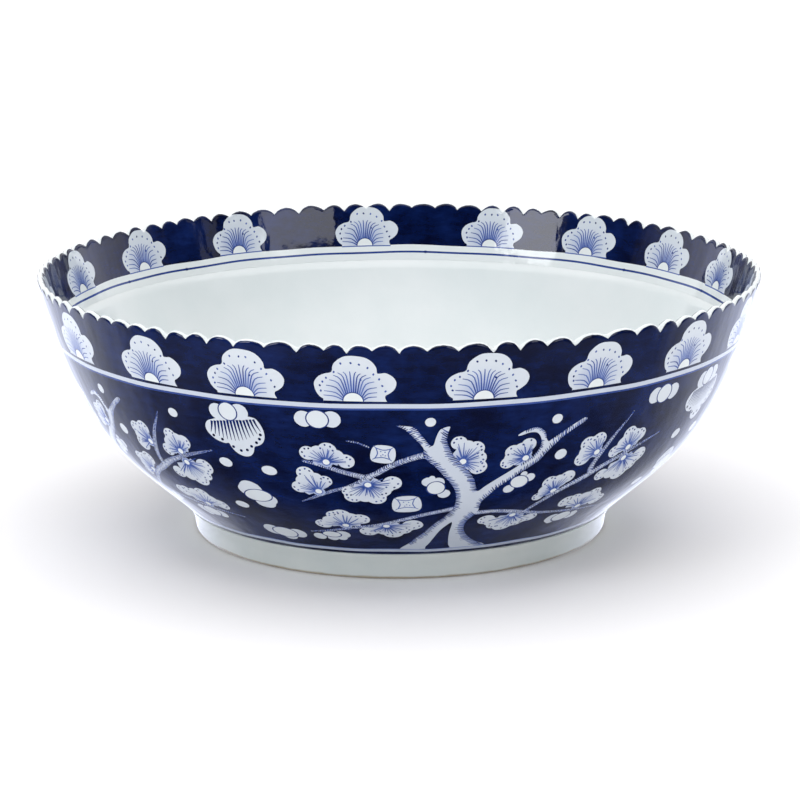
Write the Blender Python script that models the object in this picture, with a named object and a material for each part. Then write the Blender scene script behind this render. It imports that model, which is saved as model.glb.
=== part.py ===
"""A large porcelain punch bowl with a scalloped rim, standing on a foot ring.

The bowl is two clay pieces: the thrown bowl itself, and the foot ring luted under it.
The row's origin is the centre of the foot's underside, and +Z is the bowl's own axis.
"""
import math

import bmesh
import bpy
from mathutils import Vector

# Driving dimensions, in metres.
HEIGHT = 0.149               # table to the tops of the rim's lobes
RIM_RADIUS = 0.203           # widest radius, just under the rounded lip
LIP_THICKNESS = 0.0036       # the rim's wall, which ends in a rounded lip
SCALLOP_COUNT = 88           # lobes cut round the rim
SCALLOP_DEPTH = 0.003        # lobe top to notch
FLOOR_HEIGHT = 0.023         # table to the bowl's inside floor
FLOOR_RADIUS = 0.088         # flat middle of the inside floor

FOOT_HEIGHT = 0.0154         # table to the joint between foot ring and bowl
FOOT_TOP_RADIUS = 0.1216     # where the bowl's wall leaves the foot ring
FOOT_BOTTOM_RADIUS = 0.1172  # the foot ring's outside, near the table
FOOT_WALL = 0.0098           # the foot ring's thickness near the table
FOOT_EDGE_ROUND = 0.0018     # rounding on both of the foot ring's lower edges
CLAY_GAP = 0.0003            # gap that keeps the two solids apart

# The wall is one smooth curve. It leaves the foot and meets the lip at these slopes,
# measured up from the horizontal, with handles this long.
OUTER_START = (math.radians(44.0), 0.050)
OUTER_END = (math.radians(75.0), 0.0985)
INNER_START = (0.0, 0.062)
INNER_END = (math.radians(75.2), 0.066)

WALL_RINGS = 10              # rings up the outside of the wall, below the scallops
INNER_RINGS = 9              # rings up the inside of the wall, below the scallops
RIM_BAND = 0.0075            # plain wall between the top ring and the lip
COLUMNS_PER_SCALLOP = 4      # lobe top, shoulder, notch, shoulder
LIP_ARC = (0, 60, 120, 180)  # degrees round the lip, outside to inside


def clear_scene():
    for item in list(bpy.data.objects):
        bpy.data.objects.remove(item, do_unlink=True)


def material(name, colour, roughness):
    result = bpy.data.materials.new(name)
    result.use_nodes = True
    shader = result.node_tree.nodes["Principled BSDF"]
    shader.inputs["Base Color"].default_value = (*colour, 1.0)
    shader.inputs["Roughness"].default_value = roughness
    shader.inputs["Metallic"].default_value = 0.0
    return result


def handle(point, slope, length):
    """The point this far from another along a slope, in (radius, height)."""
    return (point[0] + length * math.cos(slope), point[1] + length * math.sin(slope))


def curve(start, leave, arrive, end, count):
    """Points along a cubic curve in (radius, height), ends included."""
    points = []
    for step in range(count):
        t = step / (count - 1)
        weights = ((1 - t) ** 3, 3 * t * (1 - t) ** 2, 3 * t * t * (1 - t), t ** 3)
        corners = (start, leave, arrive, end)
        points.append(tuple(sum(w * p[axis] for w, p in zip(weights, corners)) for axis in (0, 1)))
    return points


def outer_wall(count):
    start = (FOOT_TOP_RADIUS, FOOT_HEIGHT)
    end = (RIM_RADIUS, HEIGHT - LIP_THICKNESS / 2)
    arrive = handle(end, OUTER_END[0], -OUTER_END[1])
    return curve(start, handle(start, *OUTER_START), arrive, end, count)


def inner_wall(count):
    start = (FLOOR_RADIUS, FLOOR_HEIGHT)
    end = (RIM_RADIUS - LIP_THICKNESS, HEIGHT - LIP_THICKNESS / 2)
    arrive = handle(end, INNER_END[0], -INNER_END[1])
    return curve(start, handle(start, *INNER_START), arrive, end, count)


def rim_height(column):
    """Height of the scalloped edge: round lobes, one centred on +X, that meet in narrow notches."""
    along = (column / COLUMNS_PER_SCALLOP + 0.5) % 1.0
    return HEIGHT - SCALLOP_DEPTH * (1.0 - math.sin(math.pi * along))


def lip_section(height):
    """The rounded lip in (radius, height), outside to inside, for one rim height."""
    half = LIP_THICKNESS / 2
    drop = HEIGHT - height
    middle = RIM_RADIUS - half - drop / math.tan(OUTER_END[0])
    rise = half / math.sin(math.radians(LIP_ARC[1]))
    section = []
    for degrees in LIP_ARC:
        angle = math.radians(degrees)
        section.append((middle + half * math.cos(angle), height - half + rise * math.sin(angle)))
    return section


def around(radius, height, column, columns):
    angle = 2 * math.pi * column / columns
    return Vector((radius * math.cos(angle), radius * math.sin(angle), height))


def add_ring(mesh, radius, height, columns):
    return [mesh.verts.new(around(radius, height, column, columns)) for column in range(columns)]


def join_rings(mesh, lower, upper):
    """A band of quads between two rings of equal count, facing out when seen from outside."""
    count = len(lower)
    for i in range(count):
        j = (i + 1) % count
        mesh.faces.new((lower[i], lower[j], upper[j], upper[i]))


def join_scallops(mesh, coarse, fine, outside):
    """Triangles from a plain ring up to the finer scalloped ring above it."""
    for i, low in enumerate(coarse):
        low_next = coarse[(i + 1) % len(coarse)]
        first = i * COLUMNS_PER_SCALLOP
        tops = [fine[(first + k) % len(fine)] for k in range(COLUMNS_PER_SCALLOP + 1)]
        half = COLUMNS_PER_SCALLOP // 2
        faces = [(low, tops[k + 1], tops[k]) for k in range(half)]
        faces.append((low, low_next, tops[half]))
        faces += [(low_next, tops[k + 1], tops[k]) for k in range(half, COLUMNS_PER_SCALLOP)]
        for face in faces:
            mesh.faces.new(face if outside else tuple(reversed(face)))


def cap_ring(mesh, ring, height, facing_up):
    """Close a ring with a fan to a point on the axis."""
    centre = mesh.verts.new((0.0, 0.0, height))
    for i, corner in enumerate(ring):
        following = ring[(i + 1) % len(ring)]
        mesh.faces.new((centre, corner, following) if facing_up else (centre, following, corner))


def add_lip(mesh):
    """The lip's four scalloped rings, outside to inside, with the faces between them."""
    columns = SCALLOP_COUNT * COLUMNS_PER_SCALLOP
    sections = [lip_section(rim_height(column)) for column in range(columns)]
    rings = []
    for place in range(len(LIP_ARC)):
        ring = [mesh.verts.new(around(*section[place], column, columns))
                for column, section in enumerate(sections)]
        rings.append(ring)
    for lower, upper in zip(rings, rings[1:]):
        join_rings(mesh, lower, upper)
    return rings[0], rings[-1]


def finish(mesh, name, look):
    """Turn a bmesh into a named object with smooth round faces and its material."""
    bmesh.ops.recalc_face_normals(mesh, faces=mesh.faces)
    data = bpy.data.meshes.new(name)
    mesh.to_mesh(data)
    mesh.free()
    data.shade_smooth()
    data.materials.append(look)
    piece = bpy.data.objects.new(name, data)
    bpy.context.scene.collection.objects.link(piece)
    return piece


def make_bowl_body():
    """The thrown bowl: underside, outside wall, scalloped lip, inside wall and floor."""
    mesh = bmesh.new()
    lip_foot = HEIGHT - SCALLOP_DEPTH - RIM_BAND
    outside = [point for point in outer_wall(WALL_RINGS + 2) if point[1] < lip_foot]
    inside = [point for point in inner_wall(INNER_RINGS + 2) if point[1] < lip_foot]
    outer_rings = [add_ring(mesh, *point, SCALLOP_COUNT) for point in outside]
    inner_rings = [add_ring(mesh, *point, SCALLOP_COUNT) for point in inside]
    cap_ring(mesh, outer_rings[0], FOOT_HEIGHT, facing_up=False)
    for lower, upper in zip(outer_rings, outer_rings[1:]):
        join_rings(mesh, lower, upper)
    lip_outer, lip_inner = add_lip(mesh)
    join_scallops(mesh, outer_rings[-1], lip_outer, outside=True)
    join_scallops(mesh, inner_rings[-1], lip_inner, outside=False)
    for lower, upper in zip(inner_rings, inner_rings[1:]):
        join_rings(mesh, upper, lower)
    cap_ring(mesh, inner_rings[0], FLOOR_HEIGHT, facing_up=True)
    return finish(mesh, "bowl_body", material("cobalt_and_white_porcelain", (0.035, 0.055, 0.21), 0.10))


def foot_section():
    """The foot ring's section in (radius, height), anticlockwise from its inner lower edge."""
    inner = FOOT_BOTTOM_RADIUS - FOOT_WALL
    edge = FOOT_EDGE_ROUND
    soft = edge * (1 - math.sqrt(0.5))
    top = FOOT_HEIGHT - CLAY_GAP
    return [
        (inner + edge, 0.0),
        (FOOT_BOTTOM_RADIUS - edge, 0.0),
        (FOOT_BOTTOM_RADIUS - soft, soft),
        (FOOT_BOTTOM_RADIUS, edge),
        (FOOT_BOTTOM_RADIUS + 0.0013, FOOT_HEIGHT * 0.55),
        (FOOT_TOP_RADIUS, top),
        (inner + 0.0014, top),
        (inner, edge),
        (inner + soft, soft),
    ]


def make_foot_ring():
    """The foot ring: one section spun about the bowl's axis."""
    mesh = bmesh.new()
    corners = [mesh.verts.new((radius, 0.0, height)) for radius, height in foot_section()]
    edges = [mesh.edges.new((corners[i - 1], corners[i])) for i in range(len(corners))]
    bmesh.ops.spin(mesh, geom=corners + edges, cent=(0, 0, 0), axis=(0, 0, 1),
                   angle=2 * math.pi, steps=SCALLOP_COUNT, use_merge=True)
    bmesh.ops.remove_doubles(mesh, verts=mesh.verts, dist=1e-6)
    return finish(mesh, "foot_ring", material("white_porcelain", (0.70, 0.74, 0.74), 0.12))


clear_scene()
make_bowl_body()
make_foot_ring()
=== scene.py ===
"""The looks of a large blue and white porcelain punch bowl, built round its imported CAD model.

The bowl is painted by hand in cobalt under a clear glaze: plum trees on the outside wall,
and a row of half blossoms under the scalloped rim, outside and inside. Each painted band is
a mesh whose faces follow the brush strokes. Its "ink" attribute says how much cobalt lies
there, and the glaze material turns that into colour.

A place on a wall is (theta, s): theta is the angle round the axis in degrees, with -90 at
the front, and s is the distance in mm up the wall's curve from its foot.
"""
import math
import random

import bpy
import numpy as np
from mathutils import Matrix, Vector
from mathutils.geometry import delaunay_2d_cdt


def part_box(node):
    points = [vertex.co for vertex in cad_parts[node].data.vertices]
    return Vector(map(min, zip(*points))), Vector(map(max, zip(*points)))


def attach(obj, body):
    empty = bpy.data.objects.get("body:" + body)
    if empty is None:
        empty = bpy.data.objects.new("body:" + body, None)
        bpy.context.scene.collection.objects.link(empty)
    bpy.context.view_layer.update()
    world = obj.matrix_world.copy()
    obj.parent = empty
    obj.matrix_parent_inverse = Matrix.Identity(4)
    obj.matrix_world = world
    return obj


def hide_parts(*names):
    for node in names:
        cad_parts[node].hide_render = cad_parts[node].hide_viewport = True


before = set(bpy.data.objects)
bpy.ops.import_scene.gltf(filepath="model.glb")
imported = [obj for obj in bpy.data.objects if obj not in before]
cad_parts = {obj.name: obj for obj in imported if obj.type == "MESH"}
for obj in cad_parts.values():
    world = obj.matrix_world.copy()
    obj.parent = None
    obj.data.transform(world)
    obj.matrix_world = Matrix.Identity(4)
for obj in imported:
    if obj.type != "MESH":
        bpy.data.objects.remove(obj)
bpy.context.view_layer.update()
BODY_LOW, BODY_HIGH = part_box("bowl_body")

MM = 0.001
HEIGHT = BODY_HIGH.z / MM
RIM_RADIUS = BODY_HIGH.x / MM
FOOT_HEIGHT = BODY_LOW.z / MM
FOOT_TOP_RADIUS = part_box("foot_ring")[1].x / MM

# The CAD model's own driving dimensions, in mm and degrees.
LIP_THICKNESS = 3.6
FLOOR_HEIGHT = 23.0
FLOOR_RADIUS = 88.0
FOOT_BOTTOM_RADIUS = 117.2
FOOT_WALL = 9.8
FOOT_EDGE_ROUND = 1.8
CLAY_GAP = 0.3
OUTER_START = (50.0, 44.0)
OUTER_END = (98.5, 75.0)
INNER_START = (62.0, 0.0)
INNER_END = (66.0, 75.2)

# How much cobalt a stroke holds: none is bare porcelain, and 1 is the ground round the flowers. The faint
# levels also hold painted shade that greys the outside whites.
BARE, HAZE, WASH, PALE, VEIN, LINE, NAVY = 0.0, 0.18, 0.2, 0.38, 0.62, 0.8, 1.0
# The pale tones of petals and limbs are partly painted shade: they keep the outside wall's whites greyer
# than the bare clay inside.
PETAL_TONE_AND_SHADE = HAZE * 0.5
LIMB_TONE_AND_SHADE = HAZE * 0.7
TWIG_TONE = WASH * 0.8

rng = random.Random(11)


def jitter(amount):
    return rng.uniform(-amount, amount)


def polar(length, degrees):
    """(x, y) of the point this far out at an angle."""
    angle = math.radians(degrees)
    return length * math.cos(angle), length * math.sin(angle)


def turned(x, y, degrees):
    """(x, y) turned about the origin."""
    cos, sin = polar(1.0, degrees)
    return x * cos - y * sin, x * sin + y * cos


# ---------------------------------------------------------------- the walls

class Wall:
    """One side of the bowl's wall, a cubic curve in (radius, height) measured along its length.
    It leaves its start and arrives at its end along handles, as (length, slope in degrees)."""

    def __init__(self, start, leave, end, arrive, outward):
        t = np.linspace(0.0, 1.0, 801)[:, None]
        first = np.array(start) + polar(*leave)
        second = np.array(end) - polar(*arrive)
        self.points = ((1 - t) ** 3 * np.array(start) + 3 * t * (1 - t) ** 2 * first
                       + 3 * t * t * (1 - t) * second + t ** 3 * np.array(end))
        steps = np.diff(self.points, axis=0)
        self.along = np.concatenate([[0.0], np.cumsum(np.hypot(steps[:, 0], steps[:, 1]))])
        self.slope = np.gradient(self.points, self.along, axis=0)
        self.outward = outward

    def radius(self, s):
        return np.interp(s, self.along, self.points[:, 0])

    def height(self, s):
        return np.interp(s, self.along, self.points[:, 1])

    def s_at_height(self, height):
        return np.interp(height, self.points[:, 1], self.along)

    def mm_per_degree(self, s):
        return float(self.radius(s)) * math.pi / 180.0

    def place(self, theta, s, sunk=0.0):
        """Points in space, in mm, for arrays of theta and s. Sunk moves them into the clay."""
        angle = np.radians(theta)
        rise = np.interp(s, self.along, self.slope[:, 1])
        run = np.interp(s, self.along, self.slope[:, 0])
        size = np.hypot(run, rise)
        flip = 1.0 if self.outward else -1.0
        radius = self.radius(s) - sunk * flip * rise / size
        height = self.height(s) + sunk * flip * run / size
        return np.column_stack([radius * np.cos(angle), radius * np.sin(angle), height])


LIP_BASE = HEIGHT - LIP_THICKNESS / 2
OUTER = Wall((FOOT_TOP_RADIUS, FOOT_HEIGHT), OUTER_START, (RIM_RADIUS, LIP_BASE), OUTER_END, True)
INNER = Wall((FLOOR_RADIUS, FLOOR_HEIGHT), INNER_START, (RIM_RADIUS - LIP_THICKNESS, LIP_BASE),
             INNER_END, False)

# ---------------------------------------------------------------- the scalloped rim

SCALLOPS = 88
STEPS_PER_SCALLOP = 12
# Notches given one by one at the front; the other lobes are spread over the rest of the rim.
FRONT_NOTCHES = (-134.0, -130.3, -126.3, -122.5, -118.9, -114.5, -109.7, -104.8, -100.8, -97.5,
                 -93.9, -90.0, -86.1, -81.6, -76.5, -72.5, -68.4, -63.9, -58.4, -53.0, -48.3,
                 -44.4, -40.3)


def rim_notches():
    """The angles of all the notches, once round from the first front one."""
    rest = SCALLOPS - len(FRONT_NOTCHES) + 1
    widths = [1.0 + jitter(0.16) for _ in range(rest)]
    span = FRONT_NOTCHES[0] + 360.0 - FRONT_NOTCHES[-1]
    notches = list(FRONT_NOTCHES)
    for width in widths:
        notches.append(notches[-1] + width * span / sum(widths))
    return notches


def rim_outline():
    """(theta, drop) round the rim: how far in mm the edge lies under the bowl's full height."""
    notches = rim_notches()
    depths = [3.1 + jitter(0.9) for _ in notches[:-1]]
    depths.append(depths[0])
    thetas, drops = [], []
    for i in range(SCALLOPS):
        crown = 0.0 if i % 9 == 4 else abs(jitter(0.55))
        blunt = rng.uniform(0.75, 1.05)
        for step in range(STEPS_PER_SCALLOP):
            share = step / STEPS_PER_SCALLOP
            depth = depths[i] * (1 - share) + depths[i + 1] * share
            arch = math.sin(math.pi * share) ** blunt
            thetas.append(notches[i] + share * (notches[i + 1] - notches[i]))
            drops.append(crown * arch + depth * (1 - arch))
    return np.array(thetas), np.array(drops)


RIM_THETA, RIM_DROP = rim_outline()


def rim_drop(theta):
    return np.interp(theta, RIM_THETA, RIM_DROP, period=360.0)


def rim_s(wall, theta):
    """How far up one wall the rounded lip begins, at these angles."""
    return wall.s_at_height(LIP_BASE - rim_drop(theta))


def lip_point(theta, turn, sunk=0.0):
    """Points on the rounded lip. Turn is the angle round its section, in degrees: 0 faces out,
    90 up and 180 in."""
    base = LIP_BASE - rim_drop(theta)
    outside = OUTER.radius(OUTER.s_at_height(base))
    inside = INNER.radius(INNER.s_at_height(base))
    half = (outside - inside) / 2
    angle, around = np.radians(turn), np.radians(theta)
    radius = (outside + inside) / 2 + (half - sunk) * np.cos(angle)
    height = base + (half - sunk) * np.sin(angle)
    return np.column_stack([radius * np.cos(around), radius * np.sin(around), height])


def surface(wall, theta, s):
    """Points on a wall and on over the lip, which s follows beyond the wall's end."""
    end = rim_s(wall, theta)
    over = np.degrees(np.maximum(s - end, 0.0) / (LIP_THICKNESS / 2))
    on_lip = lip_point(theta, over if wall.outward else 180.0 - over)
    return np.where((over > 0)[:, None], on_lip, wall.place(theta, np.minimum(s, end)))


def surface_normals(wall, theta, s):
    """Unit normals that face out of the clay, from small steps along the surface."""
    step = 0.15
    turn = step / 3.0
    along = surface(wall, theta + turn, s) - surface(wall, theta - turn, s)
    up = surface(wall, theta, s + step) - surface(wall, theta, s - step)
    normals = np.cross(along, up)
    if not wall.outward:
        normals = -normals
    return normals / np.linalg.norm(normals, axis=1)[:, None]


# ---------------------------------------------------------------- brushwork

def smooth(points, closed=False, steps=4):
    """A Catmull-Rom curve through the points."""
    count = len(points)
    result = []
    for i in range(count if closed else count - 1):
        if closed:
            a, b, c, d = (points[(i + k) % count] for k in (-1, 0, 1, 2))
        else:
            a, b, c, d = (points[min(max(i + k, 0), count - 1)] for k in (-1, 0, 1, 2))
        for step in range(steps):
            t = step / steps
            result.append(tuple(
                0.5 * (2 * q + (r - p) * t + (2 * p - 5 * q + 4 * r - u) * t * t
                       + (3 * q - p - 3 * r + u) * t ** 3) for p, q, r, u in zip(a, b, c, d)))
    if not closed:
        result.append(tuple(points[-1]))
    return result


class Canvas:
    """Brush strokes on one wall, in painter's order, each a closed outline in (theta, s)."""

    def __init__(self, wall):
        self.wall = wall
        self.outlines, self.inks, self.clips = [], [], []

    def fill(self, outline, ink, clip=None):
        """Paint a closed shape. Ink is a number or a function of (theta, s). A clip is the number
        of an earlier shape, outside which this one doesn't show. Returns the shape's number."""
        self.outlines.append(list(outline))
        self.inks.append(ink)
        self.clips.append(clip)
        return len(self.outlines) - 1

    def local(self, theta, s):
        """A function from (x, y) in mm about a spot, x to the right and y up, to (theta, s)."""
        def spot(x, y):
            return theta + x / self.wall.mm_per_degree(s + y), s + y
        return spot

    def offset(self, origin, place):
        """(x, y) in mm from one (theta, s) to another."""
        middle = (origin[1] + place[1]) / 2
        return ((place[0] - origin[0]) * self.wall.mm_per_degree(middle), place[1] - origin[1])

    def disc(self, theta, s, across, up=None, ink=BARE, turn=0.0, rough=0.0, sides=18):
        """A disc or oval from its half widths in mm. Rough is how uneven its edge is, as a share."""
        up = across if up is None else up
        spot = self.local(theta, s)
        outline = []
        for side in range(sides):
            x, y = polar(1.0 + jitter(rough), 360.0 * side / sides)
            outline.append(spot(*turned(across * x, up * y, turn)))
        return self.fill(outline, ink)

    def ribbon(self, path, widths):
        """The two sides of a line whose width in mm changes along a path in (theta, s)."""
        left, right = [], []
        last = len(path) - 1
        for i, (place, width) in enumerate(zip(path, widths)):
            x, y = self.offset(path[max(i - 1, 0)], path[min(i + 1, last)])
            size = math.hypot(x, y) or 1.0
            across, up = -y / size * width / 2, x / size * width / 2
            spot = self.local(place[0], place[1])
            left.append(spot(across, up))
            right.append(spot(-across, -up))
        return left, right

    def stroke(self, path, start, end, ink, clip=None, belly=1.0):
        """A brush line along a path: start and end are its widths in mm at the two ends, and belly
        multiplies the width half way."""
        widths = []
        for i in range(len(path)):
            share = i / (len(path) - 1)
            widths.append((start + (end - start) * share) * (1 + (belly - 1) * math.sin(math.pi * share)))
        left, right = self.ribbon(path, widths)
        return self.fill(left + right[::-1], ink, clip)


HATCH_SLANT = 25.0   # degrees that hatching leans from square to its edge


def hatch(canvas, edge, inward, parent, length, spacing=1.2, width=1.0):
    """Short strokes along an edge, pointing into the shape they shade. inward is 1 where the shape
    lies to the left of the edge's direction, or -1."""
    travelled = 0.0
    following = spacing * 0.5
    for here, there in zip(edge, edge[1:]):
        x, y = canvas.offset(here, there)
        size = math.hypot(x, y)
        if size < 1e-6:
            continue
        while following <= travelled + size:
            share = (following - travelled) / size
            theta = here[0] + share * (there[0] - here[0])
            s = here[1] + share * (there[1] - here[1])
            facing = math.degrees(math.atan2(y, x)) + inward * (90.0 - HATCH_SLANT + jitter(9.0))
            reach = length * rng.uniform(0.65, 1.3)
            spot = canvas.local(theta, s)
            path = [spot(*polar(far, facing)) for far in (-0.5, 0.4 * reach, reach)]
            canvas.stroke(path, width, 0.3, LINE * rng.uniform(0.8, 1.15), clip=parent)
            following += spacing * rng.uniform(0.8, 1.25)
        travelled += size


def shade_edge(canvas, edge, inward, parent, width, ink):
    """A soft strip of wash along an edge."""
    inner, _ = canvas.ribbon(edge, [2 * inward * width] * len(edge))
    canvas.fill(edge + inner[::-1], ink, clip=parent)


def signed_area(outline):
    """Twice the area of a closed outline, positive if it runs anticlockwise."""
    return sum(a[0] * b[1] - b[0] * a[1] for a, b in zip(outline, outline[1:] + outline[:1]))


def moved(points, turn):
    """Points in (theta, s, ...) turned round the bowl."""
    return [(point[0] + turn, *point[1:]) for point in points]


def limb(canvas, outline, turn, shaded):
    """A trunk or thick branch from its closed outline; shaded lists the stretches of the outline
    that are hatched, as (first, last, hatch length, wash)."""
    corners = moved(outline, turn)
    inward = 1 if signed_area(corners) > 0 else -1
    parent = canvas.fill(smooth(corners, closed=True), LIMB_TONE_AND_SHADE)
    for first, last, length, wash in shaded:
        edge = smooth(corners[first:last + 1])
        if wash:
            shade_edge(canvas, edge, inward, parent, length * 0.8, wash)
        hatch(canvas, edge, inward, parent, length)


def twig(canvas, path, turn):
    """A thin branch along (theta, s, width in mm), hatched on both edges."""
    line = smooth(moved(path, turn))
    left, right = canvas.ribbon(line, [place[2] for place in line])
    parent = canvas.fill(left + right[::-1], TWIG_TONE)
    for edge, inward in ((left, -1), (right, 1)):
        hatch(canvas, edge, inward, parent, length=2.0, spacing=1.15, width=0.85)


# ---------------------------------------------------------------- flowers

def exit_distance(petals, degrees):
    """How far a ray from the heart runs before it leaves the petals, given as (x, y, radius)."""
    cos, sin = polar(1.0, degrees)
    best = 0.0
    for x, y, radius in petals:
        along = x * cos + y * sin
        off = abs(x * sin - y * cos)
        if off < radius:
            best = max(best, along + math.sqrt(radius * radius - off * off))
    return best


HEART = 1.9          # radius in mm of a tree blossom's round middle
FAN_MARGIN = 20.0    # degrees the petals' common ground reaches beyond the outermost veins


def blossom(canvas, turn, heart, petals, web, fan):
    """A plum blossom seen from one side. petals are round lobes (theta, s, radius in mm), joined by
    a fan cut from the larger disc of web, and the veins spread from the heart between the two
    angles of fan."""
    theta, s = heart[0] + turn, heart[1]
    spot = canvas.local(theta, s)

    def tone(at_theta, at_s):
        x, y = canvas.offset((theta, s), (at_theta, at_s))
        return PETAL_TONE_AND_SHADE + 1.3 * WASH * math.exp(-(x * x + y * y) / 42.0)

    lobes = []
    for petal_theta, petal_s, radius in petals:
        x, y = canvas.offset((theta, s), (petal_theta + turn, petal_s))
        lobes.append((x, y, radius))
        canvas.disc(petal_theta + turn, petal_s, radius, ink=tone, rough=0.015, sides=22)
    lobes.append((*canvas.offset((theta, s), (web[0] + turn, web[1])), web[2]))
    fan_shape = [spot(0.0, 0.0)]
    for degrees in np.linspace(fan[0] - FAN_MARGIN, fan[1] + FAN_MARGIN, 15):
        fan_shape.append(spot(*polar(exit_distance(lobes[-1:], degrees), degrees)))
    canvas.fill(fan_shape, tone)
    for (x0, y0, r0), (x1, y1, r1) in zip(lobes[:-1], lobes[1:-1]):
        between = spot((x0 + x1) * 0.47, (y0 + y1) * 0.47)
        canvas.disc(*between, (r0 + r1) * 0.46, ink=tone)
    canvas.disc(theta, s, HEART + 1.6, ink=tone)
    veins(canvas, spot, lobes, fan)
    edge_dots(canvas, spot, lobes[:-1])
    canvas.disc(theta, s, HEART + 0.5, ink=VEIN)
    canvas.disc(theta, s, HEART - 0.1, ink=BARE)


def veins(canvas, spot, lobes, fan):
    """Thin lines from the heart, about 9.5 degrees apart, that end well inside the petals."""
    start = HEART + 0.3
    count = max(2, round((fan[1] - fan[0]) / 9.5))
    for i in range(count + 1):
        degrees = fan[0] + (fan[1] - fan[0]) * i / count + jitter(2.0)
        reach = max(exit_distance(lobes, degrees), 5.0) * rng.uniform(0.62, 0.76)
        bent = degrees + jitter(8.0)
        places = (polar(start, degrees), polar((start + reach) / 2, bent), polar(reach, bent))
        path = [spot(*place) for place in places]
        canvas.stroke(path, 0.66, 0.36, VEIN * rng.uniform(0.9, 1.15))


def edge_dots(canvas, spot, lobes):
    """Three or four small dark dots inside each petal's outer edge."""
    for x, y, radius in lobes:
        facing = math.degrees(math.atan2(y, x))
        for swing in (-74, -25, 25, 74):
            if rng.random() < 0.12:
                continue
            angle = facing + swing + jitter(9.0)
            right, up = polar(radius * rng.uniform(0.6, 0.72), angle)
            canvas.disc(*spot(x + right, y + up), 0.55, 0.68, ink=LINE * rng.uniform(0.85, 1.15),
                        turn=jitter(60), sides=8)


def bud(canvas, turn, lobes, middle):
    """A bud: plain side lobes (theta, s, radius) behind a middle oval (theta, s, across, up, turn)
    that is marked off from them by a curved blue line on each side."""
    for theta, s, radius in lobes:
        canvas.disc(theta + turn, s, radius, ink=PETAL_TONE_AND_SHADE, rough=0.02)
    theta, s, across, up, lean = middle
    canvas.disc(theta + turn, s, across, up, ink=HAZE * 0.3, turn=lean)
    spot = canvas.local(theta + turn, s)
    for facing in (0.0, 180.0):
        arc = [polar(0.97, facing + swing) for swing in range(-91, 92, 13)]
        path = [spot(*turned(across * x, up * y, lean)) for x, y in arc]
        canvas.stroke(path, 0.5, 0.5, LINE, belly=1.5)


# Outline of a rim blossom about the middle of its flat base, in mm.
HALF_BLOSSOM = [(-14.8, 0.0), (-14.8, 1.1), (-16.4, 2.3), (-18.0, 4.8), (-18.9, 8.2), (-18.6, 11.1),
                (-16.4, 14.0), (-13.1, 15.7), (-10.4, 16.3), (-9.3, 17.6), (-9.0, 19.8), (-7.7, 22.3),
                (-3.8, 25.3), (0.5, 26.1), (7.1, 25.3), (10.9, 22.8), (12.9, 19.4), (13.1, 16.5),
                (14.8, 16.3), (17.5, 16.5), (20.8, 14.4), (22.4, 11.1), (21.3, 7.3), (18.6, 4.8),
                (16.7, 3.6), (16.4, 1.9), (17.2, 0.0)]
HALF_VEINS = [(-14.5, 3.2), (-14.0, 5.7), (-12.8, 9.0), (-11.0, 12.2), (-8.8, 14.8), (-6.6, 16.3),
              (-3.8, 16.9), (-0.5, 17.3), (2.7, 17.1), (4.9, 16.1), (7.7, 15.3), (9.8, 14.0),
              (11.5, 11.5), (12.6, 8.2), (12.6, 5.3), (12.3, 2.8)]
HALF_DOTS = [(-8.4, 16.7), (-4.6, 21.3), (0.0, 22.1), (4.4, 21.5), (8.4, 19.3), (11.5, 16.1),
             (13.7, 13.0), (15.3, 9.6), (16.6, 6.1), (-12.3, 13.6), (-14.6, 11.3), (-15.9, 8.6),
             (-15.3, 5.4), (4.9, 12.2)]
HALF_HEIGHT = 26.1
HALF_HEART = 4.9     # radius of its round middle


def heart_arc(radius, degrees):
    """A place round a rim blossom's middle, in the outline's own mm."""
    x, y = polar(radius, degrees)
    return 0.3 + x, y


def half_blossom(canvas, theta, base, height, mirror, underline):
    """A blossom that rises from the rim band's lower edge; mirror is -1 to turn it left to right."""
    grow = height / HALF_HEIGHT
    wide = grow * rng.uniform(0.96, 1.04)
    sway = jitter(0.02)
    spot = canvas.local(theta, base)

    def place(point):
        x, y = point[0] * wide * mirror, point[1] * grow
        return spot(x + sway * y, y)

    def tone(at_theta, at_s):
        x, y = canvas.offset((theta, base), (at_theta, at_s))
        return HAZE * 0.4 + 1.15 * WASH * math.exp(-(x * x / 110.0 + (y - 6) ** 2 / 60.0))

    canvas.fill([place(p) for p in smooth(HALF_BLOSSOM, steps=3)], tone)
    for i, end in enumerate(HALF_VEINS):
        start = heart_arc(HALF_HEART + 0.3, 172.0 - 164.0 * i / (len(HALF_VEINS) - 1))
        knee = (start[0] * 0.45 + end[0] * 0.45, start[1] * 0.35 + end[1] * 0.75)
        path = [place(p) for p in smooth([start, knee, end], steps=3)]
        canvas.stroke(path, 0.84, 0.4, VEIN * rng.uniform(0.9, 1.2))
    for x, y in HALF_DOTS:
        at = place((x + jitter(0.4), y + jitter(0.4)))
        canvas.disc(*at, 0.55, 0.72, ink=LINE * rng.uniform(0.75, 1.1), turn=jitter(50), sides=8)
    arc = [place(heart_arc(HALF_HEART, degrees)) for degrees in range(180, -1, -12)]
    canvas.stroke(arc, 1.1, 1.1, LINE)
    canvas.fill(arc, BARE)
    if underline:
        left, right = HALF_BLOSSOM[0][0], HALF_BLOSSOM[-1][0]
        line = [place((left + (right - left) * k / 8, -0.2)) for k in range(9)]
        canvas.stroke(line, 0.7, 0.7, VEIN)


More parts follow.
